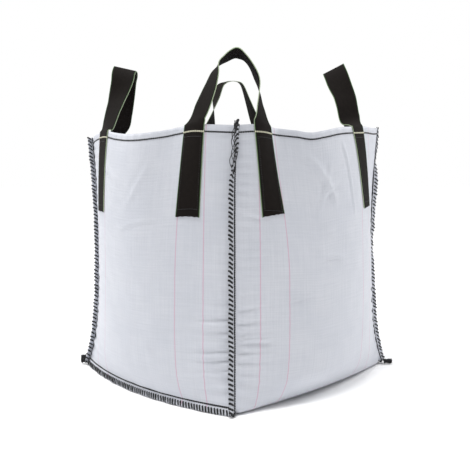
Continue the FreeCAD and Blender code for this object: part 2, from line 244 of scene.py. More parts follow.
def cloth_point(wall, s, z, proud=0.0):
    """Points on the creased outer face of a wall, or a little proud of it."""
    away = relief(wall, s, z) + proud
    return smooth_wall(wall, s, z) + wall_normal(wall, s, z) * away[..., None]


# ------------------------------
# The corner seams' flaps: the panels' edges are turned out face to face, 24.5 mm of them.
# A sewn flap is stiff and leans over to one side, more or less along its length.

FLAP = 0.0245
FLAP_GAP = 0.0010
# Lean of each corner's flap in degrees at a few heights in metres.
FLAP_LEANS = (
    ((0.0, -45), (0.04, -50), (0.35, -54), (0.74, -58), (0.80, -42), (0.86, -8), (0.91, 22),
     (1.0, 32)),
    ((0.0, 45), (0.04, 36), (0.2, 18), (0.35, 20), (0.5, 52), (0.6, 40), (0.75, 16),
     (0.82, 30), (0.87, 64), (1.01, 66)),
    ((0.0, -45), (0.05, -28), (0.3, 14), (0.8, 22), (1.0, 10)),
    ((0.0, 62), (0.05, 52), (0.2, 34), (0.5, 36), (0.8, 38), (1.0, 44)),
)


def flap_frame(corner, z):
    """Root, outward direction and sideways direction of a corner's flap at heights z."""
    z = np.asarray(z, float)
    heights, leans = zip(*FLAP_LEANS[corner])
    lean = np.interp(z, heights, leans)
    settled = smooth_step(0.02, 0.12, z)
    lean = lean + settled * (4.0 * np.sin(37.0 * z + corner) + 2.5 * np.sin(91.0 * z + 2 * corner))
    angle = np.radians(-45.0 + 90.0 * corner + lean)
    nil = np.zeros(z.shape)
    ahead = np.stack([np.cos(angle), np.sin(angle), nil], axis=-1)
    across = np.stack([-np.sin(angle), np.cos(angle), nil], axis=-1)
    return smooth_wall(corner, np.ones(z.shape), z), ahead, across


# ------------------------------
# The cloth: tubular-woven polypropylene tape, coated on its outer face, cut into one long
# panel for right wall, base and left wall, and two side panels. Modelled as thin sheets
# through numbered rows and columns, then given the cloth's thickness.

CLOTH = 0.0008
HEM_TURN = 0.030
HEM_INSET = 0.0024
RIM_DROP = 0.0008
EDGE_STEPS = (0.25, 0.5, 0.75, 1.0)
WALL_COLUMNS = 115
WALL_STEPS = 124


def linear(code):
    """An sRGB hex colour as linear red, green, blue and alpha."""
    channels = [int(code[k:k + 2], 16) / 255.0 for k in (1, 3, 5)]
    return [c / 12.92 if c <= 0.04045 else ((c + 0.055) / 1.055) ** 2.4 for c in channels] + [1.0]


def add_node(tree, kind, inputs=None, **settings):
    """Adds a node with its settings; each input is a value, a socket to link, or a node
    that stands for its first output."""
    made = tree.nodes.new(kind)
    for name, value in settings.items():
        setattr(made, name, value)
    for place, value in (inputs or {}).items():
        value = value.outputs[0] if isinstance(value, bpy.types.Node) else value
        if isinstance(value, bpy.types.NodeSocket):
            tree.links.new(value, made.inputs[place])
        else:
            made.inputs[place].default_value = value
    return made


def placed(name, data):
    """A new object with this data, in the scene."""
    made = bpy.data.objects.new(name, data)
    bpy.context.scene.collection.objects.link(made)
    return made


def new_material(name):
    """A new material and its empty node tree."""
    made = bpy.data.materials.new(name)
    made.use_nodes = True
    made.node_tree.nodes.clear()
    return made, made.node_tree


def maths(tree, operation, *values):
    """One sum with numbers, sockets or nodes."""
    return add_node(tree, "ShaderNodeMath", dict(enumerate(values)), operation=operation)


def mixed(tree, share, first, second):
    """A colour between two others, 0 giving the first."""
    return add_node(tree, "ShaderNodeMix", {0: share, 6: first, 7: second},
                    data_type="RGBA").outputs[2]


def ribs(tree, value, spacing):
    """A sine wave along a coordinate."""
    return maths(tree, "SINE", maths(tree, "MULTIPLY", value, 2.0 * math.pi / spacing))


def ranged(tree, value, low, high, start=0.0, end=1.0):
    """A value's place between low and high, as a value from start to end."""
    return add_node(tree, "ShaderNodeMapRange", {0: value, 1: low, 2: high, 3: start, 4: end})


def surfaced(tree, height, strength, distance, inputs):
    """Ends a material's tree: a principled shader with these inputs and a bump."""
    bump = add_node(tree, "ShaderNodeBump", {"Strength": strength, "Distance": distance,
                                             "Height": height})
    shader = add_node(tree, "ShaderNodeBsdfPrincipled", {"Normal": bump, **inputs})
    add_node(tree, "ShaderNodeOutputMaterial", {0: shader})


def grid_piece(name, points, uv, closed=False):
    """A mesh object through a grid of points, with a UV map in metres of cloth."""
    rows, columns = points.shape[:2]
    index = np.arange(rows * columns).reshape(rows, columns)
    if closed:
        index = np.concatenate([index, index[:, :1]], axis=1)
    faces = np.stack([index[:-1, :-1], index[:-1, 1:], index[1:, 1:], index[1:, :-1]], axis=-1)
    mesh = bpy.data.meshes.new(name)
    mesh.from_pydata(points.reshape(-1, 3).tolist(), [], faces.reshape(-1, 4).tolist())
    corners = np.empty(len(mesh.loops), dtype=np.int32)
    mesh.loops.foreach_get("vertex_index", corners)
    layer = mesh.uv_layers.new(name="weave")
    layer.data.foreach_set("uv", uv.reshape(-1, 2)[corners].astype(np.float32).ravel())
    mesh.shade_smooth()
    return placed(name, mesh)


def wall_columns():
    """Positions across a panel: the wall's s, then how far out along a flap, in metres."""
    middle = np.linspace(-1.0, 1.0, WALL_COLUMNS)
    flap = np.array(EDGE_STEPS) * FLAP
    s = np.concatenate([-np.ones(len(flap)), middle, np.ones(len(flap))])
    out = np.concatenate([flap[::-1], np.zeros(len(middle)), flap])
    return s, out


def panel_row(wall, z, inside=0.0):
    """One row of a wall's panel, flap edges included, at heights z for every column."""
    s, out = wall_columns()
    z = np.broadcast_to(z, s.shape)
    points = cloth_point(wall, s, z, -inside)
    for end, corner, side in ((-1.0, wall - 1, 1.0), (1.0, wall, -1.0)):
        corner = corner % 4
        on_flap = (s == end) & (out > 0.0)
        root, ahead, across = flap_frame(corner, z[on_flap])
        gap = side * max(FLAP_GAP - inside, 0.0001)
        points[on_flap] = root + ahead * out[on_flap, None] + across * gap
    return points


def wall_rows(wall, foot):
    """Rows of a wall from the hem's raw edge inside, over the rim and down to its foot."""
    s, out = wall_columns()
    top = rim_height(wall, s)
    rows = []
    lengths = []
    for depth in np.linspace(HEM_TURN, 0.002, 6):
        rows.append(panel_row(wall, top - depth, HEM_INSET))
        lengths.append(depth)
    rows.append(panel_row(wall, top - RIM_DROP / 2.0, HEM_INSET / 2.0))
    lengths.append(0.0)
    for level in np.linspace(0.0, 1.0, WALL_STEPS):
        rows.append(panel_row(wall, foot + (top - RIM_DROP - foot) * (1.0 - level)))
        lengths.append(-RIM_DROP - level)
    return rows, lengths


def fabric(name, yarns):
    """Coated woven polypropylene: crisp flat tapes under a thin glossy film, so it is
    satin, shows its weave as fine ribs both ways and is a cool, slightly milky white.
    yarns are the places across the panel, in metres, of its coloured marker yarns."""
    made, tree = new_material(name)
    where = add_node(tree, "ShaderNodeUVMap", uv_map="weave")
    part = add_node(tree, "ShaderNodeSeparateXYZ", {0: where}).outputs

    def streaks(scale, seed):
        shifted = add_node(tree, "ShaderNodeMapping", {0: where, 3: scale, 1: (seed, seed, 0.0)})
        return add_node(tree, "ShaderNodeTexNoise", {"Vector": shifted, "Scale": 1.0,
                                                     "Detail": 3.0, "Roughness": 0.6})

    # Tapes are 3 mm wide; beats of 11 and 13 mm are added so that the weave shows from afar.
    plain = maths(tree, "MULTIPLY", ribs(tree, part[0], 0.003), ribs(tree, part[1], 0.003))
    beat = maths(tree, "ADD", ribs(tree, part[0], 0.0113), ribs(tree, part[1], 0.0127))
    across = streaks((6.0, 230.0, 1.0), 3.1)
    along = streaks((210.0, 5.0, 1.0), 8.7)
    cloudy = streaks((5.0, 5.0, 1.0), 1.3)
    lines = maths(tree, "ADD", across, along)
    base = mixed(tree, ranged(tree, lines, 0.7, 1.3), linear("#C6C9D1"), linear("#D3D5DC"))
    base = mixed(tree, ranged(tree, cloudy, 0.35, 0.65, 0.0, 0.35), base, linear("#BFC3CD"))
    for place in yarns:
        offset = maths(tree, "ABSOLUTE", maths(tree, "SUBTRACT", part[0], place))
        on_yarn = ranged(tree, offset, 0.0013, 0.0021, 0.62, 0.0)
        base = mixed(tree, on_yarn, base, linear("#CB93AF"))
    height = maths(tree, "MULTIPLY", plain, 0.25)
    for other, share in ((beat, 0.22), (across, 0.9), (along, 0.5)):
        height = maths(tree, "MULTIPLY_ADD", other, share, height)
    surfaced(tree, height, 0.35, 0.0009,
             {"Base Color": base, "Roughness": ranged(tree, lines, 0.7, 1.3, 0.46, 0.62),
              "IOR": 1.49, "Sheen Weight": 0.08, "Sheen Roughness": 0.4})
    return made


def settle(piece):
    """Turns a piece and its modifiers into a plain mesh."""
    view = bpy.context.evaluated_depsgraph_get()
    mesh = bpy.data.meshes.new_from_object(piece.evaluated_get(view))
    piece.modifiers.clear()
    old = piece.data
    piece.data = mesh
    bpy.data.meshes.remove(old)
    mesh.name = piece.name


def sheet_of(name, rows, lengths, material):
    """A panel of cloth through rows of points, each row at its own length along the cloth,
    with its thickness on the inner side."""
    points = np.array(rows)
    s, out = wall_columns()
    u = s * HALF_PANEL + np.sign(s) * out
    uv = np.stack(np.broadcast_arrays(u[None, :], np.array(lengths)[:, None]), axis=-1)
    piece = grid_piece(name, points, uv)
    piece.data.materials.append(material)
    skin = piece.modifiers.new("thickness", "SOLIDIFY")
    skin.thickness = CLOTH
    skin.offset = -1.0
    settle(piece)
    return piece


# The two side panels. Their lower edges are sewn to the base's at SEAM_FOOT above the floor,
# turned out there, and slope down to the floor.
BASE_FLAP = 0.028
BASE_FLAP_SLOPE = math.radians(66.0)
SEAM_FOOT = 0.0278
SEAM_LOWEST = 0.0014


def base_seam_point(wall, s, reach, proud):
    """Points on the seam below a side panel, reach down its sloping flap and proud of it."""
    flop = 3.0 * np.sin(23.0 * s + wall) + 2.0 * np.sin(41.0 * s)
    slope = BASE_FLAP_SLOPE + np.radians(flop)
    out = reach * np.cos(slope) + proud * np.sin(slope)
    down = reach * np.sin(slope) - proud * np.cos(slope)
    points = smooth_wall(wall, s, SEAM_FOOT) + turned(wall, 0.0, out, 0.0)
    points[..., 2] = np.maximum(SEAM_FOOT - down, SEAM_LOWEST)
    return points


def side_panel(wall, material):
    """The front or back panel, from its hem down to the raw edge of the base seam."""
    s, out = wall_columns()
    rows, lengths = wall_rows(wall, SEAM_FOOT)
    for share in EDGE_STEPS:
        edge = base_seam_point(wall, s, share * BASE_FLAP, 0.0008)
        for end, corner in ((-1.0, (wall - 1) % 4), (1.0, wall)):
            on_flap = (s == end) & (out > 0.0)
            ahead = flap_frame(corner, np.zeros(int(on_flap.sum())))[1]
            edge[on_flap] += ahead * out[on_flap, None] * (1.0 - share)
        rows.append(edge)
        lengths.append(lengths[-1] - BASE_FLAP / len(EDGE_STEPS))
    piece = sheet_of("side_panel_" + WALL_NAMES[wall] + "_cloth", rows, lengths, material)
    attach(piece, "root")
    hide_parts("side_panel_" + WALL_NAMES[wall])


side_fabric = fabric("coated_woven_polypropylene_side", (0.243, 0.347, -0.215, -0.319))
for wall in (0, 2):
    side_panel(wall, side_fabric)


# The long panel: right wall, base and left wall in one length of cloth. It rolls under the
# bag with FOLD_RADIUS, FLOOR_GAP above the floor, and rises a little at its corners.
BASE_STEPS = 64
FOLD_RADIUS = 0.028
FLOOR_GAP = 0.0011
CORNER_RISE = 0.014
SEAM_GAP = 0.0012


def long_panel(material):
    """The panel in one sheet: down the right wall, across the base and up the left wall."""
    s, out = wall_columns()
    foot = FLOOR_GAP + CORNER_RISE * smooth_step(0.93, 1.0, np.abs(s))
    between_seams = np.abs(s) < 0.999
    right, right_lengths = wall_rows(1, foot)
    left, left_lengths = wall_rows(3, foot)
    for rows in (right, left):
        for row in rows:
            low = np.clip(FOLD_RADIUS - (row[:, 2] - foot), 0.0, FOLD_RADIUS)
            tuck = FOLD_RADIUS - np.sqrt(np.maximum(FOLD_RADIUS ** 2 - low ** 2, 0.0))
            row[:, 0] -= np.sign(row[:, 0]) * tuck * between_seams
    half = float(chord(0.0)) / 2.0
    swell = float(bulge(0.0)) - FOOT_TUCK
    rows = list(right)
    lengths = list(right_lengths)
    for share in np.linspace(0.0, 1.0, BASE_STEPS)[1:-1]:
        x = (half + swell * (1.0 - s * s)) * (1.0 - 2.0 * share)
        place = 2.0 * share - 1.0
        x = x - np.sign(x) * FOLD_RADIUS * smooth_step(0.9, 1.0, abs(place)) * between_seams
        y = s * abs(smooth_wall(0, place, SEAM_FOOT)[1])
        z = FLOOR_GAP + (SEAM_FOOT - SEAM_GAP - FLOOR_GAP) * smooth_step(0.84, 1.0, np.abs(s))
        y = y + np.sign(s) * out * math.cos(BASE_FLAP_SLOPE)
        z = np.maximum(z - out * math.sin(BASE_FLAP_SLOPE), FLOOR_GAP)
        rows.append(np.stack([x, y, z], axis=-1))
        lengths.append(right_lengths[-1] - share * 2.0 * half)
    turn = right_lengths[-1] - 2.0 * half
    for row, length in zip(left[::-1], left_lengths[::-1]):
        rows.append(row[::-1])
        lengths.append(turn - (length - left_lengths[-1]))
    piece = sheet_of("long_panel_cloth", rows, lengths, material)
    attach(piece, "root")
    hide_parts("u_panel", *["corner_seam_edges_" + name for name in CORNER_NAMES])


long_fabric = fabric("coated_woven_polypropylene_long", (-0.369, -0.265, 0.173, 0.277))
long_panel(long_fabric)

# ------------------------------
# Thread: thick multifilament polyester, wound and waxed, so it is matt and nearly black.
# Stitches are laid along a line of cloth by one geometry tree for each kind of stitch.


def thread(name, dark, light, roughness):
    """Twisted polyester multifilament: fine filaments, matt with a dull sheen."""
    made, tree = new_material(name)
    where = add_node(tree, "ShaderNodeTexCoord").outputs["Object"]
    # The grain is about 1 mm across, coarser than real filaments, so that it shows.
    twist = add_node(tree, "ShaderNodeTexNoise", {"Vector": where, "Scale": 900.0, "Detail": 2.0})
    surfaced(tree, twist, 0.5, 0.0004,
             {"Base Color": mixed(tree, twist, linear(dark), linear(light)),
              "Roughness": roughness, "IOR": 1.5, "Sheen Weight": 0.15, "Sheen Roughness": 0.5})
    return made


black_thread = thread("black_polyester_thread", "#030408", "#0B0C12", 0.7)
olive_thread = thread("pale_olive_polyester_thread", "#A9A68C", "#CFCDB8", 0.75)
# The threads with their slots
BLACK = (black_thread, "black_thread")
OLIVE = (olive_thread, "olive_thread")


THREAD_SIDES = 6
END_TAPER = 0.45


def swept(name, path, wide, thick, broad_along):
    """A small closed mesh: an oval of thread swept through a few points."""
    path = np.array(path, float)
    ahead = unit(np.gradient(path, axis=0))
    aside = np.array(broad_along, float)
    sides = THREAD_SIDES
    rings = []
    for k in range(len(path)):
        flat = unit(aside - ahead[k] * np.dot(aside, ahead[k]))
        tall = np.cross(ahead[k], flat)
        end = END_TAPER if k in (0, len(path) - 1) else 1.0
        rings.append([path[k] + end * (flat * wide / 2.0 * math.cos(a)
                                       + tall * thick / 2.0 * math.sin(a))
                      for a in np.linspace(0.0, 2.0 * math.pi, sides, endpoint=False)])
    verts = [tuple(p) for ring in rings for p in ring]
    faces = []
    for k in range(len(path) - 1):
        for n in range(sides):
            m = (n + 1) % sides
            faces.append((k * sides + n, k * sides + m, (k + 1) * sides + m, (k + 1) * sides + n))
    faces.append(tuple(range(sides))[::-1])
    faces.append(tuple((len(path) - 1) * sides + n for n in range(sides)))
    mesh = bpy.data.meshes.new(name)
    mesh.from_pydata(verts, [], faces)
    mesh.shade_smooth()
    return placed(name, mesh)


def stitch_tree():
    """Lays one stitch after another along edges that carry their own outward direction."""
    tree = bpy.data.node_groups.new("row_of_stitches", "GeometryNodeTree")
    for socket, kind in (("Geometry", "Geometry"), ("Stitch", "Object"), ("Pitch", "Float"),
                         ("Unevenness", "Float"), ("Thread", "Material"), ("Seed", "Int")):
        tree.interface.new_socket(socket, in_out="INPUT", socket_type="NodeSocket" + kind)
    tree.interface.new_socket("Geometry", in_out="OUTPUT", socket_type="NodeSocketGeometry")
    given = add_node(tree, "NodeGroupInput").outputs
    line = add_node(tree, "GeometryNodeMeshToCurve", {0: given["Geometry"]})
    spaced = add_node(tree, "GeometryNodeResampleCurve",
                      {"Curve": line, "Length": given["Pitch"]}, mode="LENGTH")
    ahead = add_node(tree, "GeometryNodeInputTangent")
    outward = add_node(tree, "GeometryNodeInputNamedAttribute", {"Name": "outward"},
                       data_type="FLOAT_VECTOR")
    turn = add_node(tree, "FunctionNodeAxesToRotation", {0: outward, 1: ahead},
                    primary_axis="Y", secondary_axis="X")
    wobble = add_node(tree, "FunctionNodeRandomValue", {"Seed": given["Seed"]},
                      data_type="FLOAT_VECTOR")
    wobble.inputs[0].default_value = (-1.0, -1.0, -1.0)
    scaled = add_node(tree, "ShaderNodeVectorMath", {0: wobble, "Scale": given["Unevenness"]},
                      operation="SCALE")
    loose = add_node(tree, "FunctionNodeEulerToRotation", {0: scaled})
    turned_about = add_node(tree, "FunctionNodeRotateRotation", {0: turn, 1: loose},
                            rotation_space="LOCAL")
    stitch = add_node(tree, "GeometryNodeObjectInfo", {"Object": given["Stitch"]})
    laid = add_node(tree, "GeometryNodeInstanceOnPoints",
                    {"Points": spaced, "Instance": stitch.outputs["Geometry"],
                     "Rotation": turned_about})
    real = add_node(tree, "GeometryNodeRealizeInstances", {0: laid})
    dyed = add_node(tree, "GeometryNodeSetMaterial", {"Geometry": real, "Material": given["Thread"]})
    add_node(tree, "NodeGroupOutput", {0: dyed})
    return tree


row_of_stitches = stitch_tree()


def stitched(name, lines, stitch, pitch, unevenness, dyed, seed, replaced):
    """A piece made of rows of stitches. Each line is (points, outward directions), and
    dyed is the thread's material and slot."""
    points = np.concatenate([line[0] for line in lines])
    outward = np.concatenate([np.broadcast_to(line[1], line[0].shape) for line in lines])
    edges = []
    start = 0
    for line in lines:
        edges += [(start + n, start + n + 1) for n in range(len(line[0]) - 1)]
        start += len(line[0])
    mesh = bpy.data.meshes.new(name)
    mesh.from_pydata(points.tolist(), edges, [])
    held = mesh.attributes.new("outward", "FLOAT_VECTOR", "POINT")
    held.data.foreach_set("vector", outward.astype(np.float32).ravel())
    piece = placed(name, mesh)
    sewing = piece.modifiers.new("sewing", "NODES")
    sewing.node_group = row_of_stitches
    values = {"Stitch": stitch, "Pitch": pitch, "Unevenness": unevenness, "Thread": dyed[0],
              "Seed": seed}
    for item in row_of_stitches.interface.items_tree:
        if item.in_out == "INPUT" and item.name in values:
            sewing[item.identifier] = values[item.name]
    settle(piece)
    piece.data.shade_smooth()
    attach(piece, "root")
    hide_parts(*replaced)


# Overlock over the corner seams and the base seams: thick thread wrapped round both raw
# edges, OVERLOCK_REACH deep, with a safety chain stitch 6 to 9 mm further in.
OVERLOCK_PITCH = 0.0155
BASE_PITCH = 0.0118
CHAIN_PITCH = 0.0078
OVERLOCK_REACH = 0.0155
BASE_OVERLOCK_INSET = 0.003
CHAIN_ROOT = 0.0030
CHAIN_PROUD = 0.0026
FLAP_HALF_THICKNESS = 0.0030
STITCH_THICK = 0.0030


def wrap(name, slant, width):
    """One overlock stitch: in at the needle line, round the raw edges and back."""
    lift = FLAP_HALF_THICKNESS
    reach = OVERLOCK_REACH
    path = [(-slant / 2, 0.0, lift * 0.5), (-slant / 2 * 0.9, 0.0015, lift),
            (0.0, reach * 0.5, lift * 1.1), (slant / 2, reach, lift),
            (slant / 2, reach + 0.0022, 0.0), (slant / 2, reach, -lift),
            (0.0, reach * 0.5, -lift * 1.1), (-slant / 2 * 0.9, 0.0015, -lift),
            (-slant / 2, 0.0, -lift * 0.5)]
    return swept(name, path, width, STITCH_THICK, (1.0, 0.0, 0.0))


wrap_rising = wrap("overlock_wrap_rising", 0.010, 0.0076)
wrap_falling = wrap("overlock_wrap_falling", -0.010, 0.0062)
wrap_far = wrap("overlock_wrap_far", 0.010, 0.0060)
wrap_base = wrap("overlock_wrap_base", 0.007, 0.0068)
CORNER_WRAPS = (wrap_rising, wrap_falling, wrap_far, wrap_far)


def straight(name, end, shoulder, lift, wide, thick):
    """One straight stitch, its middle lifted off the cloth."""
    path = [(-end, 0.0, 0.0), (-shoulder, 0.0, lift), (shoulder, 0.0, lift), (end, 0.0, 0.0)]
    return swept(name, path, wide, thick, (0.0, 1.0, 0.0))


bar = straight("straight_stitch", 0.0041, 0.0022, 0.0006, 0.0060, 0.0028)
# The corner seams' stitches start this high, and end this far below their corner's top
SEAM_START = 0.014
SEAM_TOPS = (0.002, 0.002, 0.010, 0.016)


def corner_line(corner, out, side):
    """A line along a corner's flap, out from its root and to one side, and its outward."""
    z = np.linspace(SEAM_START, CORNER_HEIGHTS[corner] - SEAM_TOPS[corner], 150)
    root, ahead, across = flap_frame(corner, z)
    return root + ahead * out + across * side, ahead


for corner, name in enumerate(CORNER_NAMES):
    stitched("overlock_thread_" + name, [corner_line(corner, FLAP - OVERLOCK_REACH, 0.0)],
             CORNER_WRAPS[corner], OVERLOCK_PITCH, 0.16, BLACK, corner + 3,
             ["corner_overlock_" + name])
    stitched("safety_chain_" + name,
             [corner_line(corner, CHAIN_ROOT, side * CHAIN_PROUD) for side in (-1.0, 1.0)],
             bar, CHAIN_PITCH, 0.06, BLACK, corner + 11, ["corner_chain_stitch_" + name])


def base_line(wall, reach, proud):
    """A line on the flap of the seam below a side panel, and its outward direction."""
    s = np.linspace(-1.0, 1.0, 140)
    points = base_seam_point(wall, s, reach, proud)
    return points, unit(base_seam_point(wall, s, 0.016, 0.0) - base_seam_point(wall, s, 0.0, 0.0))


for wall in (0, 2):
    name = WALL_NAMES[wall]
    inner = BASE_FLAP - OVERLOCK_REACH - BASE_OVERLOCK_INSET
    stitched("base_overlock_thread_" + name, [base_line(wall, inner, 0.0004)], wrap_base,
             BASE_PITCH, 0.10, BLACK, wall + 21, ["base_overlock_" + name])
    stitched("base_safety_chain_" + name, [base_line(wall, 0.0010, 0.0030)], bar, CHAIN_PITCH,
             0.06, BLACK, wall + 31, ["base_chain_stitch_" + name])


# Hem stitching: one row of chain stitch round the mouth, black on both faces of the cloth,
# and pale where it is carried over the straps. Distances along a wall are in s.
HEM_PROUD = (0.0016, -0.0050)
CROSS_PROUD = 0.0040
CROSS_MARGIN = 0.004
HEM_LEVEL = 0.07
STRAP_HALF = STRAP_WIDTH / 2.0 / HALF_PANEL


def wall_up(wall, s, z):
    """Directions up a wall, which are the stitches' outward side."""
    return unit(smooth_wall(wall, s, z) - smooth_wall(wall, s, z - 0.004))


def hem_line(wall, first, last, proud, count=90):
    """A line along a wall's hem, and its outward direction."""
    s = np.linspace(first, last, count)
    z = rim_height(wall, s) - HEM_DEPTH
    return cloth_point(wall, s, z, proud), wall_up(wall, s, z)


for wall, name in enumerate(WALL_NAMES):
    legs = leg_places(wall, HEM_LEVEL)
    ends = (-0.99, *[leg + side * STRAP_HALF for leg in legs for side in (-1.0, 1.0)], 0.99)
    lines = [hem_line(wall, ends[k], ends[k + 1], proud) for k in (0, 2, 4) for proud in HEM_PROUD]
    stitched("hem_chain_" + name, lines, bar, CHAIN_PITCH, 0.05, BLACK, wall + 41,
             ["hem_chain_stitch_" + name])
    reach = STRAP_HALF - CROSS_MARGIN
    lines = [hem_line(wall, leg - reach, leg + reach, CROSS_PROUD, 14) for leg in legs]
    stitched("strap_cross_stitches_" + name, lines, bar, CHAIN_PITCH, 0.05, OLIVE, wall + 51,
             ["strap_cross_stitch_" + name])

# ------------------------------
# Lifting loops: black polypropylene webbing 95 mm wide and 3 mm thick. Each strap is one
# length, sewn flat to two neighbouring walls, and it twists as it crosses the corner.

STRAP_THICK = 0.003
LEG_CLEARANCE = 0.0016
# Stations along each loop's free part: along the loop's fold line, out from it and height,
# in metres, then how far the strap has turned in degrees. At 0 its width points outwards,
# and at the top of the loop plus raises its outer edge.
LOOPS = (
    ((-0.114, -0.014, 1.016, -42), (-0.100, -0.010, 1.046, -40), (-0.083, -0.005, 1.084, -37),
     (-0.067, 0.003, 1.122, -32), (-0.051, 0.003, 1.172, -22), (-0.037, 0.002, 1.203, -4),
     (-0.013, 0.000, 1.2215, 4), (0.011, 0.000, 1.2360, 9), (0.030, 0.000, 1.2385, 14),
     (0.0527, 0.000, 1.2240, 8), (0.0735, 0.000, 1.1970, 8), (0.0915, 0.000, 1.1600, 11),
     (0.1000, 0.000, 1.1330, 8), (0.1035, -0.003, 1.0960, -1), (0.105, -0.009, 1.0540, -11),
     (0.110, -0.016, 1.0170, -25)),
    ((-0.206, -0.030, 1.030, -38), (-0.192, -0.044, 1.090, -26), (-0.175, -0.053, 1.127, -16),
     (-0.140, -0.071, 1.175, 0), (-0.095, -0.086, 1.222, 14), (-0.045, -0.096, 1.252, 24),
     (0.000, -0.096, 1.261, 27), (0.050, -0.0874, 1.250, 24), (0.100, -0.0735, 1.216, 12),
     (0.145, -0.0495, 1.160, -4), (0.178, -0.0337, 1.100, -24), (0.200, -0.0205, 1.045, -46)),
    ((-0.130, -0.008, 1.040, -44), (-0.0946, -0.012, 1.106, -24), (-0.066, -0.014, 1.185, -13),
     (-0.038, -0.015, 1.262, -5), (-0.012, -0.015, 1.284, 6), (0.020, -0.015, 1.287, 8),
     (0.050, -0.015, 1.279, 12), (0.078, -0.015, 1.258, 24), (0.096, -0.014, 1.205, 24),
     (0.108, -0.012, 1.140, 2), (0.124, -0.010, 1.066, -25), (0.145, -0.004, 1.015, -50)),
    ((-0.164, -0.032, 1.033, -50), (-0.160, -0.040, 1.085, -40), (-0.148, -0.046, 1.142, -28),
     (-0.115, -0.056, 1.221, -8), (-0.070, -0.068, 1.252, 6), (-0.025, -0.073, 1.264, 11),
     (0.025, -0.0735, 1.264, 12), (0.078, -0.0735, 1.238, 4), (0.115, -0.073, 1.1965, -10),
     (0.145, -0.056, 1.119, -33), (0.156, -0.042, 1.0735, -43), (0.163, -0.022, 1.010, -58)),
)


def through(stations, count):
    """Points on one smooth line through the stations (Catmull-Rom), evenly spaced."""
    stations = np.array(stations, float)
    padded = np.concatenate([2 * stations[:1] - stations[1:2], stations,
                             2 * stations[-1:] - stations[-2:-1]])
    span = np.linalg.norm(np.diff(stations[:, :3], axis=0), axis=1)
    reach = np.concatenate([[0.0], np.cumsum(span)])
    made = []
    for distance in np.linspace(0.0, reach[-1], count):
        k = min(int(np.searchsorted(reach, distance, side="right")) - 1, len(span) - 1)
        t = (distance - reach[k]) / span[k]
        a, b, c, d = padded[k:k + 4]
        made.append(0.5 * (2 * b + (c - a) * t + (2 * a - 5 * b + 4 * c - d) * t * t
                           + (3 * b - a - 3 * c + d) * t ** 3))
    return np.array(made)


# How much lower each leg's cut end is at its left and right edge, seen from outside
END_DROPS = {(0, 0): (0.014, 0.017), (0, 1): (0.013, -0.004), (1, 0): (0.014, 0.010),
             (1, 1): (0.0, 0.003), (2, 0): (0.003, 0.0), (2, 1): (0.0, 0.004),
             (3, 0): (0.002, 0.0), (3, 1): (0.012, 0.015)}
STRAP_COLUMNS = 11
LEG_ROWS = 44
ARCH_ROWS = 96
# Rows over which the free part's line is eased into a leg's first row
JOIN_ROWS = 12.0


def on_leg(wall, s, z, proud):
    """Points proud of the back face of the webbing that is sewn to a wall."""
    away = slack(wall, s, z) + LEG_CLEARANCE + proud
    return smooth_wall(wall, s, z) + wall_normal(wall, s, z) * away[:, None]


def leg_grid(corner, which):
    """Rows of middle-of-webbing points down one sewn leg, from the rim to its cut end."""
    wall = (corner + which) % 4
    share = np.linspace(-1.0, 1.0, STRAP_COLUMNS)
    drops = END_DROPS[(corner, which)]
    ragged = 0.0012 * np.sin(13.0 * share + 5.0 * corner + 2.0 * which)
    drop = drops[0] + (drops[1] - drops[0]) * (share + 1.0) / 2.0 + ragged
    rows = []
    for level in np.linspace(0.0, 1.0, LEG_ROWS):
        s = leg_places(wall, level)[1 - which] + share * STRAP_HALF
        z = rim_height(wall, s) - level * (LEG_BELOW_RIM + drop)
        rows.append(on_leg(wall, s, z, STRAP_THICK / 2.0))
    return rows


def loop_joint(corner):
    """The joint that a corner's loop folds about."""
    name = "loop_" + CORNER_NAMES[corner] + "_fold"
    return next(joint for joint in frame["joints"] if joint["name"] == name)


def strap_grid(corner):
    """Middle-of-webbing points of a whole strap, from one cut end to the other."""
    first = leg_grid(corner, 0)
    last = leg_grid(corner, 1)
    joint = loop_joint(corner)
    along = np.array(joint["axis"])
    up = np.array((0.0, 0.0, 1.0))
    out = np.cross(along, up)
    middle = np.array(joint["pos_m"])
    share = np.linspace(-1.0, 1.0, STRAP_COLUMNS)
    ends = []
    for rows, sign in ((first, 1.0), (last, -1.0)):
        centre = np.mean(rows[0], axis=0)
        wide = unit(rows[0][-1] - rows[0][0]) * sign
        turn = -math.degrees(math.atan2(np.dot(wide, along) * sign, np.dot(wide, out)))
        ends.append((np.dot(centre - middle, along), np.dot(centre - middle, out), centre[2], turn))
    path = through((ends[0],) + LOOPS[corner] + (ends[1],), ARCH_ROWS)
    ahead = unit(np.gradient(path[:, :3], axis=0))
    rows = []
    for k in range(ARCH_ROWS):
        turn = math.radians(path[k, 3])
        normal = -unit(np.cross((0.0, 1.0, 0.0), ahead[k]))
        side = -unit(np.cross(ahead[k], normal))
        side = side if side[1] > 0.0 else -side
        wide = side * math.cos(turn) + normal * math.sin(turn)
        centre = middle * (1.0, 1.0, 0.0) + along * path[k, 0] + out * path[k, 1] + up * path[k, 2]
        across = along * wide[0] + out * wide[1] + up * wide[2]
        rows.append(centre + across[None, :] * (share[:, None] * STRAP_WIDTH / 2.0))
    bend = first[0] - rows[0]
    finish = last[0][::-1] - rows[-1]
    for k in range(ARCH_ROWS):
        near = smooth_step(JOIN_ROWS, 0.0, float(k))
        far = smooth_step(JOIN_ROWS, 0.0, float(ARCH_ROWS - 1 - k))
        rows[k] = rows[k] + bend * near + finish * far
    return first[::-1] + rows[1:-1] + [row[::-1] for row in last]


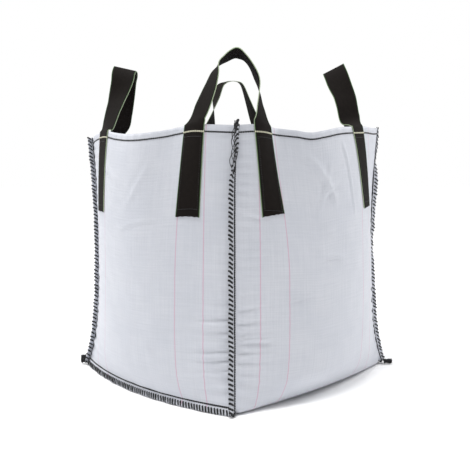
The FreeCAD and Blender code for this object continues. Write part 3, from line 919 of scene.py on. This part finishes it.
def webbing(name):
    """Woven black polypropylene webbing: hard, dull, with close ribs across its width."""
    made, tree = new_material(name)
    where = add_node(tree, "ShaderNodeUVMap", uv_map="weave")
    part = add_node(tree, "ShaderNodeSeparateXYZ", {0: where}).outputs
    # Weft ribs 2.2 mm apart and warp cords 3.4 mm apart, alternately raised.
    twill = maths(tree, "MULTIPLY", ribs(tree, part[0], 0.0034), ribs(tree, part[1], 0.0022))
    worn = add_node(tree, "ShaderNodeTexNoise", {"Vector": where, "Scale": 60.0, "Detail": 4.0})
    shade = maths(tree, "MULTIPLY_ADD", twill, 0.25, worn)
    base = mixed(tree, ranged(tree, shade, 0.1, 0.9), linear("#100C0A"), linear("#1B1613"))
    # The outermost warp cords are a dark green that runs into the pale green edge,
    # which is partly a green edge yarn and partly a painted highlight.
    green = ranged(tree, maths(tree, "ABSOLUTE", part[0]), 0.0435, 0.0468, 0.0, 0.85)
    surfaced(tree, twill, 0.3, 0.00012, {"Base Color": mixed(tree, green, base, linear("#4A6B45")),
                                         "Roughness": 0.9, "IOR": 1.25})
    return made


black_webbing = webbing("black_polypropylene_webbing")
# Pale green for the straps' rounded edges: partly a green edge yarn, partly a highlight painted
# along the edges.
pale_edge_with_painted_highlight = thread("pale_green_selvedge", "#8FA382", "#C3CBAF", 0.8)


SELVEDGE = 0.0006
EDGE_U = 0.048


def strap(corner):
    """A whole strap: its two faces and rounded selvedges, closed at its cut ends."""
    name = CORNER_NAMES[corner]
    grid = np.array(strap_grid(corner))
    ahead = unit(np.gradient(grid, axis=0))
    wide = unit(np.gradient(grid, axis=1))
    face = unit(np.cross(wide, ahead)) * (STRAP_THICK / 2.0)
    left = grid[:, :1] - wide[:, :1] * SELVEDGE
    right = grid[:, -1:] + wide[:, -1:] * SELVEDGE
    quarter_left = face[:, :1] * 0.5
    quarter_right = face[:, -1:] * 0.5
    ring = np.concatenate([grid + face, right + quarter_right, right - quarter_right,
                           (grid - face)[:, ::-1], left - quarter_left, left + quarter_left], axis=1)
    across = np.linspace(-0.5, 0.5, STRAP_COLUMNS) * STRAP_WIDTH
    u = np.concatenate([across, [EDGE_U, EDGE_U], across[::-1], [-EDGE_U, -EDGE_U]])
    steps = np.linalg.norm(np.diff(np.mean(grid, axis=1), axis=0), axis=1)
    v = np.concatenate([[0.0], np.cumsum(steps)])
    uv = np.stack(np.broadcast_arrays(u[None, :], v[:, None]), axis=-1)
    # The cut ends are closed by drawing the last rows in to the middle of the thickness.
    closing = [np.concatenate([row, row[-1:], row[-1:], row[::-1], row[:1], row[:1]])[None]
               for row in (grid[0], grid[-1])]
    ring = np.concatenate([closing[0], ring, closing[1]])
    uv = np.concatenate([uv[:1], uv, uv[-1:]])
    piece = grid_piece("strap_" + name, ring, uv, closed=True)
    mesh = piece.data
    mesh.materials.append(black_webbing)
    mesh.materials.append(pale_edge_with_painted_highlight)
    # Faces run round the strap: one broad side, an edge of three, and the same again.
    place = np.arange(len(mesh.polygons)) % (STRAP_COLUMNS + 2)
    # The edge faces take the pale green, a green edge yarn with a painted highlight.
    mesh.polygons.foreach_set("material_index", (place >= STRAP_COLUMNS - 1).astype(np.int32))
    mesh.update()
    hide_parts("loop_arch_" + name, "loop_fold_" + name, *leg_nodes("loop_leg_", corner))
    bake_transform(piece)


def leg_nodes(start, corner):
    """Names of the nodes of this kind on a strap's two legs."""
    return [start + CORNER_NAMES[corner] + "_on_" + WALL_NAMES[(corner + k) % 4] for k in (0, 1)]


for corner in range(4):
    strap(corner)


# The straps' sewing: a box of straight stitches round each leg, black on black, between
# these levels and shares of the strap's half width
BOX_LEVELS = (0.14, 0.965)
BOX_SIDE = 0.80
BOX_END = 0.77
BOX_PROUD = 0.0002
box_bar = straight("box_stitch", 0.0028, 0.0014, 0.0005, 0.0018, 0.0012)


def leg_line(wall, which, shares, levels):
    """A line of sewing on a leg, and its outward direction."""
    share, level = np.broadcast_arrays(shares, levels)
    s = leg_places(wall, level)[1 - which] + share * STRAP_HALF
    z = rim_height(wall, s) - level * LEG_BELOW_RIM
    return on_leg(wall, s, z, STRAP_THICK + BOX_PROUD), wall_up(wall, s, z)


for corner, name in enumerate(CORNER_NAMES):
    lines = []
    for which in (0, 1):
        wall = (corner + which) % 4
        for share in (-BOX_SIDE, BOX_SIDE):
            lines.append(leg_line(wall, which, share, np.linspace(*BOX_LEVELS, 40)))
        for level in BOX_LEVELS:
            lines.append(leg_line(wall, which, np.linspace(-BOX_END, BOX_END, 12), level))
    stitched("leg_stitches_" + name, lines, box_bar, 0.0062, 0.04, BLACK, corner + 61,
             leg_nodes("leg_stitching_", corner))

# ------------------------------
# Loose thread: the overlock's ends are bunched into knots at two base corners, and the
# front right seam starts with a tangle of loops. Bundles of bent round thread.


def scribble(name, spots, thickness):
    """Bent black threads, each a smooth tube through its own few points, as one plain mesh."""
    curve = bpy.data.curves.new(name, "CURVE")
    curve.dimensions = "3D"
    curve.bevel_depth = thickness / 2.0
    curve.bevel_resolution = 1
    curve.resolution_u = 4
    curve.use_fill_caps = True
    for points in spots:
        spline = curve.splines.new("NURBS")
        spline.points.add(len(points) - 1)
        for held, place in zip(spline.points, points):
            held.co = (*place, 1.0)
        spline.order_u = 3
        spline.use_endpoint_u = True
    holder = placed(name + "_line", curve)
    view = bpy.context.evaluated_depsgraph_get()
    mesh = bpy.data.meshes.new_from_object(holder.evaluated_get(view))
    bpy.data.objects.remove(holder)
    mesh.materials.clear()
    mesh.materials.append(black_thread)
    mesh.shade_smooth()
    piece = placed(name, mesh)
    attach(piece, "root")
    return piece


# Each knot: out from the corner's root, height, and half-sizes outwards, sideways and up
KNOTS = {1: (0.024, 0.013, 0.019, 0.010, 0.009), 3: (0.018, 0.023, 0.011, 0.009, 0.020)}
KNOT_THREAD = 0.0042
TANGLE_THREAD = 0.0025
# Bunches in the tangle: lowest and highest, spread, strands and distance out along the flap
BUNCHES = ((0.955, 1.004, 0.011, 9, 0.012), (0.862, 0.912, 0.010, 11, 0.014),
           (0.815, 0.855, 0.008, 6, 0.015))
# Hanging loops of thread: where each starts and how far it swings out sideways
HANGING_LOOPS = ((0.985, 0.012), (0.96, 0.016), (0.93, 0.012), (0.90, 0.014))


def knot(corner):
    """A bunch of thread at the foot of a corner seam."""
    random = np.random.default_rng(7 + corner)
    out, height, *half_sizes = KNOTS[corner]
    angle = math.radians(-45.0 + 90.0 * corner)
    ahead = np.array([math.cos(angle), math.sin(angle), 0.0])
    axes = np.array([ahead, (-ahead[1], ahead[0], 0.0), (0.0, 0.0, 1.0)])
    middle = smooth_wall(corner, 1.0, 0.0) + ahead * out + np.array([0.0, 0.0, height])
    spots = []
    for strand in range(12):
        points = []
        for k in range(20):
            swing = np.array([math.sin(0.9 * k + 1.3 * strand), math.cos(1.7 * k + strand),
                              math.sin(1.3 * k + 2.1 * strand)])
            spot = middle + (swing * random.uniform(0.5, 1.0) * half_sizes) @ axes
            spot[2] = max(spot[2], KNOT_THREAD / 2.0)
            points.append(spot)
        spots.append(points)
    piece = scribble("thread_knot_" + CORNER_NAMES[corner], spots, KNOT_THREAD)
    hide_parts("seam_knot_" + CORNER_NAMES[corner])


for corner in (1, 3):
    knot(corner)


def tangle():
    """The bunched and looping thread at the top of the front right seam."""
    random = np.random.default_rng(19)
    spots = []
    for z_low, z_high, spread, strands, out in BUNCHES:
        for strand in range(strands):
            points = []
            for k in range(9):
                z = random.uniform(z_low, z_high)
                root, ahead, across = flap_frame(0, np.array(min(z, 0.995)))
                spot = root + ahead * (out + random.uniform(-spread, spread))
                spot = spot + across * random.uniform(-0.006, 0.006)
                spot[2] = z
                points.append(spot)
            spots.append(points)
    for start, reach in HANGING_LOOPS:
        points = []
        for k in range(7):
            swing = reach * math.sin(math.pi * k / 6.0)
            root, ahead, across = flap_frame(0, np.array(start - 0.011 * k))
            points.append(root + ahead * (0.010 + swing * 0.2) - across * (0.004 + swing))
        spots.append(points)
    scribble("seam_tangle_front_right", spots, TANGLE_THREAD)


tangle()

for helper in (wrap_rising, wrap_falling, wrap_far, wrap_base, bar, box_bar):
    bpy.data.objects.remove(helper)

# ------------------------------
# The studio: a plain white floor, soft lights from both sides and above, and the camera.

FLOOR_REACH = 30.0
AMBIENT = 0.42
corners = [(x * FLOOR_REACH, y * FLOOR_REACH, 0.0) for x, y in ((-1, -1), (1, -1), (1, 1), (-1, 1))]
floor_mesh = bpy.data.meshes.new("studio_floor")
floor_mesh.from_pydata(corners, [], [(0, 1, 2, 3)])
floor = placed("studio_floor", floor_mesh)
white = bpy.data.materials.new("matt_white_floor")
white.use_nodes = True
white_shader = white.node_tree.nodes["Principled BSDF"]
white_shader.inputs["Base Color"].default_value = linear("#FFFFFF")
white_shader.inputs["Roughness"].default_value = 0.9
floor_mesh.materials.append(white)

scene = bpy.context.scene
world = bpy.data.worlds.new("studio_air")
scene.world = world
world.use_nodes = True
sky = world.node_tree.nodes["Background"]
sky.inputs["Color"].default_value = (1.0, 1.0, 1.0, 1.0)
# The air is pure white to the camera and lights the bag more weakly than that.
seen = add_node(world.node_tree, "ShaderNodeLightPath").outputs["Is Camera Ray"]
strength = ranged(world.node_tree, seen, 0.0, 1.0, AMBIENT, 1.0)
world.node_tree.links.new(strength.outputs[0], sky.inputs["Strength"])

SOFTBOX_AIM = (0.0, 0.0, 0.6)
SOFTBOX_SIZE = 1.6


def softbox(name, place, power):
    """A large square area light."""
    lamp = bpy.data.lights.new(name, "AREA")
    lamp.shape = "SQUARE"
    lamp.size = SOFTBOX_SIZE
    lamp.energy = power
    holder = placed(name, lamp)
    ahead = unit(np.array(SOFTBOX_AIM) - np.array(place))
    yaw = math.atan2(ahead[1], ahead[0]) - math.pi / 2.0
    pitch = math.pi / 2.0 + math.asin(ahead[2])
    holder.location = place
    holder.rotation_euler = (pitch, 0.0, yaw)


softbox("left_softbox", (-3.4, -1.6, 3.0), 86.0)
softbox("right_softbox", (1.9, 3.4, 3.0), 84.0)
overhead = bpy.data.lights.new("overhead_diffuser", "SUN")
overhead.energy = 2.1
overhead.angle = math.radians(24.0)
diffuser = placed("overhead_diffuser", overhead)
diffuser.location = (0.0, 0.0, 3.0)
diffuser.rotation_euler = (math.radians(13.0), math.radians(0.5), 0.0)

CAMERA_HEADING = math.radians(45.0)
CAMERA_DISTANCE = 2.895
CAMERA_HEIGHT = 0.83
lens = bpy.data.cameras.new("camera")
lens.sensor_width = 36.0
lens.lens = 51.54894
lens.shift_y = -0.1361702
camera = placed("camera", lens)
camera.location = (math.sin(CAMERA_HEADING) * CAMERA_DISTANCE,
                   -math.cos(CAMERA_HEADING) * CAMERA_DISTANCE, CAMERA_HEIGHT)
camera.rotation_euler = (math.pi / 2.0, 0.0, CAMERA_HEADING)
scene.camera = camera
scene.view_settings.view_transform = "Standard"
